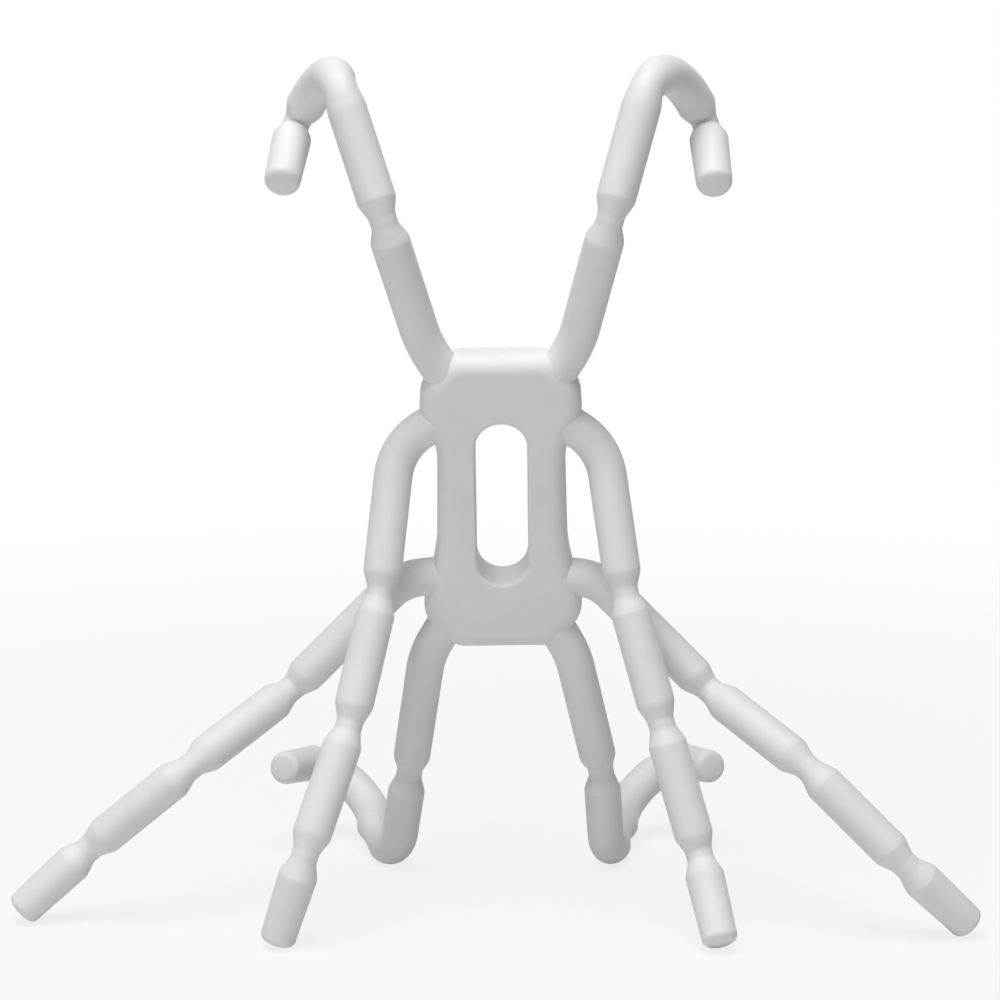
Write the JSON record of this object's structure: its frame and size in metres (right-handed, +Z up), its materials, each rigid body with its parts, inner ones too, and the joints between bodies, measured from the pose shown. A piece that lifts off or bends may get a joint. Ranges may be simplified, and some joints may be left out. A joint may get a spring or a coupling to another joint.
{
  "type": "flexible tablet mount",
  "caption": "Spider-shaped flexible stand for a phone or small tablet: flat rubber body with a long slot and bendable jointed legs, some hooked to hold the device.",
  "frame": {"origin": "centre of the bounding box on the surface that the stand rests on", "axes": "+X sideways, to the right as seen from the side that the body faces; +Y towards the held device; +Z up"},
  "size_m": [0.151, 0.0681, 0.1342],
  "materials": {
    "rubber_skin": "soft matte, pale grey-white",
    "core_wire": "bare drawn wire"
  },
  "bodies": {
    "body": {"body": "rubber_skin", "upper_core_wires": "core_wire", "lower_core_wires": "core_wire"},
    "upper_left_root_part": {"upper_left_root": "rubber_skin", "upper_left_neck_1": "rubber_skin"},
    "upper_left_grip_2_part": {"upper_left_grip_2": "rubber_skin", "upper_left_neck_2": "rubber_skin"},
    "upper_left_grip_3_part": {"upper_left_grip_3": "rubber_skin", "upper_left_neck_3": "rubber_skin"},
    "upper_left_tip_part": {"upper_left_tip": "rubber_skin"},
    "upper_right_root_part": {"upper_right_root": "rubber_skin", "upper_right_neck_1": "rubber_skin"},
    "upper_right_grip_2_part": {"upper_right_grip_2": "rubber_skin", "upper_right_neck_2": "rubber_skin"},
    "upper_right_grip_3_part": {"upper_right_grip_3": "rubber_skin", "upper_right_neck_3": "rubber_skin"},
    "upper_right_tip_part": {"upper_right_tip": "rubber_skin"},
    "front_left_root_part": {"front_left_root": "rubber_skin", "front_left_neck_1": "rubber_skin"},
    "front_left_grip_2_part": {"front_left_grip_2": "rubber_skin", "front_left_neck_2": "rubber_skin"},
    "front_left_grip_3_part": {"front_left_grip_3": "rubber_skin", "front_left_neck_3": "rubber_skin"},
    "front_left_tip_part": {"front_left_tip": "rubber_skin"},
    "front_right_root_part": {"front_right_root": "rubber_skin", "front_right_neck_1": "rubber_skin"},
    "front_right_grip_2_part": {"front_right_grip_2": "rubber_skin", "front_right_neck_2": "rubber_skin"},
    "front_right_grip_3_part": {"front_right_grip_3": "rubber_skin", "front_right_neck_3": "rubber_skin"},
    "front_right_tip_part": {"front_right_tip": "rubber_skin"},
    "side_left_root_part": {"side_left_root": "rubber_skin", "side_left_neck_1": "rubber_skin"},
    "side_left_grip_2_part": {"side_left_grip_2": "rubber_skin", "side_left_neck_2": "rubber_skin"},
    "side_left_grip_3_part": {"side_left_grip_3": "rubber_skin", "side_left_neck_3": "rubber_skin"},
    "side_left_tip_part": {"side_left_tip": "rubber_skin"},
    "side_right_root_part": {"side_right_root": "rubber_skin", "side_right_neck_1": "rubber_skin"},
    "side_right_grip_2_part": {"side_right_grip_2": "rubber_skin", "side_right_neck_2": "rubber_skin"},
    "side_right_grip_3_part": {"side_right_grip_3": "rubber_skin", "side_right_neck_3": "rubber_skin"},
    "side_right_tip_part": {"side_right_tip": "rubber_skin"},
    "lower_left_root_part": {"lower_left_root": "rubber_skin", "lower_left_neck_1": "rubber_skin"},
    "lower_left_grip_2_part": {"lower_left_grip_2": "rubber_skin", "lower_left_neck_2": "rubber_skin"},
    "lower_left_grip_3_part": {"lower_left_grip_3": "rubber_skin", "lower_left_neck_3": "rubber_skin"},
    "lower_left_tip_part": {"lower_left_tip": "rubber_skin"},
    "lower_right_root_part": {"lower_right_root": "rubber_skin", "lower_right_neck_1": "rubber_skin"},
    "lower_right_grip_2_part": {"lower_right_grip_2": "rubber_skin", "lower_right_neck_2": "rubber_skin"},
    "lower_right_grip_3_part": {"lower_right_grip_3": "rubber_skin", "lower_right_neck_3": "rubber_skin"},
    "lower_right_tip_part": {"lower_right_tip": "rubber_skin"}
  },
  "joints": [
    {"name": "upper_left_root_swing", "type": "hinge", "parent": "body", "child": "upper_left_root_part", "pos_m": [-0.00776, -0.00965, 0.08604], "axis": [0, -0.9763, -0.2164], "range_deg": [-25, 25]},
    {"name": "upper_left_bend_1", "type": "hinge", "parent": "upper_left_root_part", "child": "upper_left_grip_2_part", "pos_m": [-0.0164, -0.01981, 0.10984], "axis": [0.9463, 0.1513, 0.2856], "range_deg": [-40, 110], "deforming": ["upper_left_neck_1"]},
    {"name": "upper_left_bend_2", "type": "hinge", "parent": "upper_left_grip_2_part", "child": "upper_left_grip_3_part", "pos_m": [-0.02289, -0.01585, 0.12928], "axis": [0.9483, 0.1274, 0.2908], "range_deg": [-15, 130], "deforming": ["upper_left_neck_2"]},
    {"name": "upper_left_bend_3", "type": "hinge", "parent": "upper_left_grip_3_part", "child": "upper_left_tip_part", "pos_m": [-0.03052, -0.00074, 0.12336], "axis": [0.891, 0.187, -0.4138], "range_deg": [0, 145], "deforming": ["upper_left_neck_3"]},
    {"name": "upper_right_root_swing", "type": "hinge", "parent": "body", "child": "upper_right_root_part", "pos_m": [0.00976, -0.00965, 0.08604], "axis": [0, -0.9763, -0.2164], "range_deg": [-25, 25]},
    {"name": "upper_right_bend_1", "type": "hinge", "parent": "upper_right_root_part", "child": "upper_right_grip_2_part", "pos_m": [0.01744, -0.01984, 0.11006], "axis": [-0.9586, 0.1528, 0.2402], "range_deg": [-110, 40], "deforming": ["upper_right_neck_1"]},
    {"name": "upper_right_bend_2", "type": "hinge", "parent": "upper_right_grip_2_part", "child": "upper_right_grip_3_part", "pos_m": [0.02314, -0.01577, 0.12972], "axis": [-0.913, 0.3633, 0.1858], "range_deg": [-130, 15], "deforming": ["upper_right_neck_2"]},
    {"name": "upper_right_bend_3", "type": "hinge", "parent": "upper_right_grip_3_part", "child": "upper_right_tip_part", "pos_m": [0.03274, -0.00166, 0.12338], "axis": [-0.8925, 0.2375, -0.3834], "range_deg": [-145, 0], "deforming": ["upper_right_neck_3"]},
    {"name": "front_left_root_swing", "type": "hinge", "parent": "body", "child": "front_left_root_part", "pos_m": [-0.00893, -0.0079, 0.07818], "axis": [0, -0.9763, -0.2164], "range_deg": [-25, 20]},
    {"name": "front_left_bend_1", "type": "hinge", "parent": "front_left_root_part", "child": "front_left_grip_2_part", "pos_m": [-0.01782, -0.01399, 0.05215], "axis": [0.1697, -0.9423, 0.2885], "range_deg": [-70, 30], "deforming": ["front_left_neck_1"]},
    {"name": "front_left_bend_2", "type": "hinge", "parent": "front_left_grip_2_part", "child": "front_left_grip_3_part", "pos_m": [-0.02233, -0.02076, 0.0328], "axis": [0.6546, -0.7484, 0.107], "range_deg": [-70, 85], "deforming": ["front_left_neck_2"]},
    {"name": "front_left_bend_3", "type": "hinge", "parent": "front_left_grip_3_part", "child": "front_left_tip_part", "pos_m": [-0.02872, -0.02875, 0.01448], "axis": [-0.9499, 0.0652, 0.3056], "range_deg": [-55, 100], "deforming": ["front_left_neck_3"]},
    {"name": "front_right_root_swing", "type": "hinge", "parent": "body", "child": "front_right_root_part", "pos_m": [0.01093, -0.0079, 0.07818], "axis": [0, -0.9763, -0.2164], "range_deg": [-20, 10]},
    {"name": "front_right_bend_1", "type": "hinge", "parent": "front_right_root_part", "child": "front_right_grip_2_part", "pos_m": [0.0206, -0.01297, 0.05201], "axis": [0.0687, -0.9619, 0.2646], "range_deg": [-65, 15], "deforming": ["front_right_neck_1"]},
    {"name": "front_right_bend_2", "type": "hinge", "parent": "front_right_grip_2_part", "child": "front_right_grip_3_part", "pos_m": [0.02607, -0.01798, 0.03236], "axis": [0.7053, -0.6131, 0.3559], "range_deg": [-80, 60], "deforming": ["front_right_neck_2"]},
    {"name": "front_right_bend_3", "type": "hinge", "parent": "front_right_grip_3_part", "child": "front_right_tip_part", "pos_m": [0.03176, -0.02299, 0.0128], "axis": [-0.9511, 0.0821, -0.2976], "range_deg": [-100, 55], "deforming": ["front_right_neck_3"]},
    {"name": "side_left_root_swing", "type": "hinge", "parent": "body", "child": "side_left_root_part", "pos_m": [-0.009, -0.00226, 0.05271], "axis": [0, -0.9763, -0.2164], "range_deg": [-25, 20]},
    {"name": "side_left_bend_1", "type": "hinge", "parent": "side_left_root_part", "child": "side_left_grip_2_part", "pos_m": [-0.03232, -0.00486, 0.03457], "axis": [0.6844, -0.3578, -0.6353], "range_deg": [-50, 70], "deforming": ["side_left_neck_1"]},
    {"name": "side_left_bend_2", "type": "hinge", "parent": "side_left_grip_2_part", "child": "side_left_grip_3_part", "pos_m": [-0.04723, -0.01593, 0.02486], "axis": [-0.6233, 0.1764, 0.7618], "range_deg": [-40, 110], "deforming": ["side_left_neck_2"]},
    {"name": "side_left_bend_3", "type": "hinge", "parent": "side_left_grip_3_part", "child": "side_left_tip_part", "pos_m": [-0.06338, -0.01548, 0.0115], "axis": [0.6279, 0.2374, -0.7412], "range_deg": [-75, 80], "deforming": ["side_left_neck_3"]},
    {"name": "side_right_root_swing", "type": "hinge", "parent": "body", "child": "side_right_root_part", "pos_m": [0.011, -0.00226, 0.05271], "axis": [0, -0.9763, -0.2164], "range_deg": [-20, 25]},
    {"name": "side_right_bend_1", "type": "hinge", "parent": "side_right_root_part", "child": "side_right_grip_2_part", "pos_m": [0.03415, -0.00802, 0.03517], "axis": [-0.7071, -0.3691, -0.6032], "range_deg": [-75, 50], "deforming": ["side_right_neck_1"]},
    {"name": "side_right_bend_2", "type": "hinge", "parent": "side_right_grip_2_part", "child": "side_right_grip_3_part", "pos_m": [0.04849, -0.02011, 0.02576], "axis": [0.7074, 0.3704, 0.602], "range_deg": [-100, 55], "deforming": ["side_right_neck_2"]},
    {"name": "side_right_bend_3", "type": "hinge", "parent": "side_right_grip_3_part", "child": "side_right_tip_part", "pos_m": [0.06323, -0.02545, 0.01183], "axis": [0.6945, 0.0296, 0.7188], "range_deg": [-100, 55], "deforming": ["side_right_neck_3"]},
    {"name": "lower_left_root_swing", "type": "hinge", "parent": "body", "child": "lower_left_root_part", "pos_m": [-0.00787, -0.00034, 0.04408], "axis": [0, -0.9763, -0.2164], "range_deg": [-25, 25]},
    {"name": "lower_left_bend_1", "type": "hinge", "parent": "lower_left_root_part", "child": "lower_left_grip_2_part", "pos_m": [-0.01392, 0.00866, 0.01724], "axis": [0.8438, -0.4822, -0.2355], "range_deg": [-70, 85], "deforming": ["lower_left_neck_1"]},
    {"name": "lower_left_bend_2", "type": "hinge", "parent": "lower_left_grip_2_part", "child": "lower_left_grip_3_part", "pos_m": [-0.01976, 0.01798, 0.00348], "axis": [-0.2512, -0.2793, 0.9268], "range_deg": [-45, 105], "deforming": ["lower_left_neck_2"]},
    {"name": "lower_left_bend_3", "type": "hinge", "parent": "lower_left_grip_3_part", "child": "lower_left_tip_part", "pos_m": [-0.02919, 0.0316, 0.01247], "axis": [-0.5441, 0.0978, -0.8333], "range_deg": [0, 145], "deforming": ["lower_left_neck_3"]},
    {"name": "lower_right_root_swing", "type": "hinge", "parent": "body", "child": "lower_right_root_part", "pos_m": [0.00987, -0.00034, 0.04408], "axis": [0, -0.9763, -0.2164], "range_deg": [-25, 25]},
    {"name": "lower_right_bend_1", "type": "hinge", "parent": "lower_right_root_part", "child": "lower_right_grip_2_part", "pos_m": [0.01761, 0.00872, 0.01751], "axis": [-0.9051, 0.4249, 0.0148], "range_deg": [-90, 65], "deforming": ["lower_right_neck_1"]},
    {"name": "lower_right_bend_2", "type": "hinge", "parent": "lower_right_grip_2_part", "child": "lower_right_grip_3_part", "pos_m": [0.02095, 0.01844, 0.00347], "axis": [0.6143, -0.2873, 0.7349], "range_deg": [-95, 60], "deforming": ["lower_right_neck_2"]},
    {"name": "lower_right_bend_3", "type": "hinge", "parent": "lower_right_grip_3_part", "child": "lower_right_tip_part", "pos_m": [0.03051, 0.03186, 0.01277], "axis": [0.5524, 0.099, -0.8277], "range_deg": [-145, 0], "deforming": ["lower_right_neck_3"]}
  ]
}
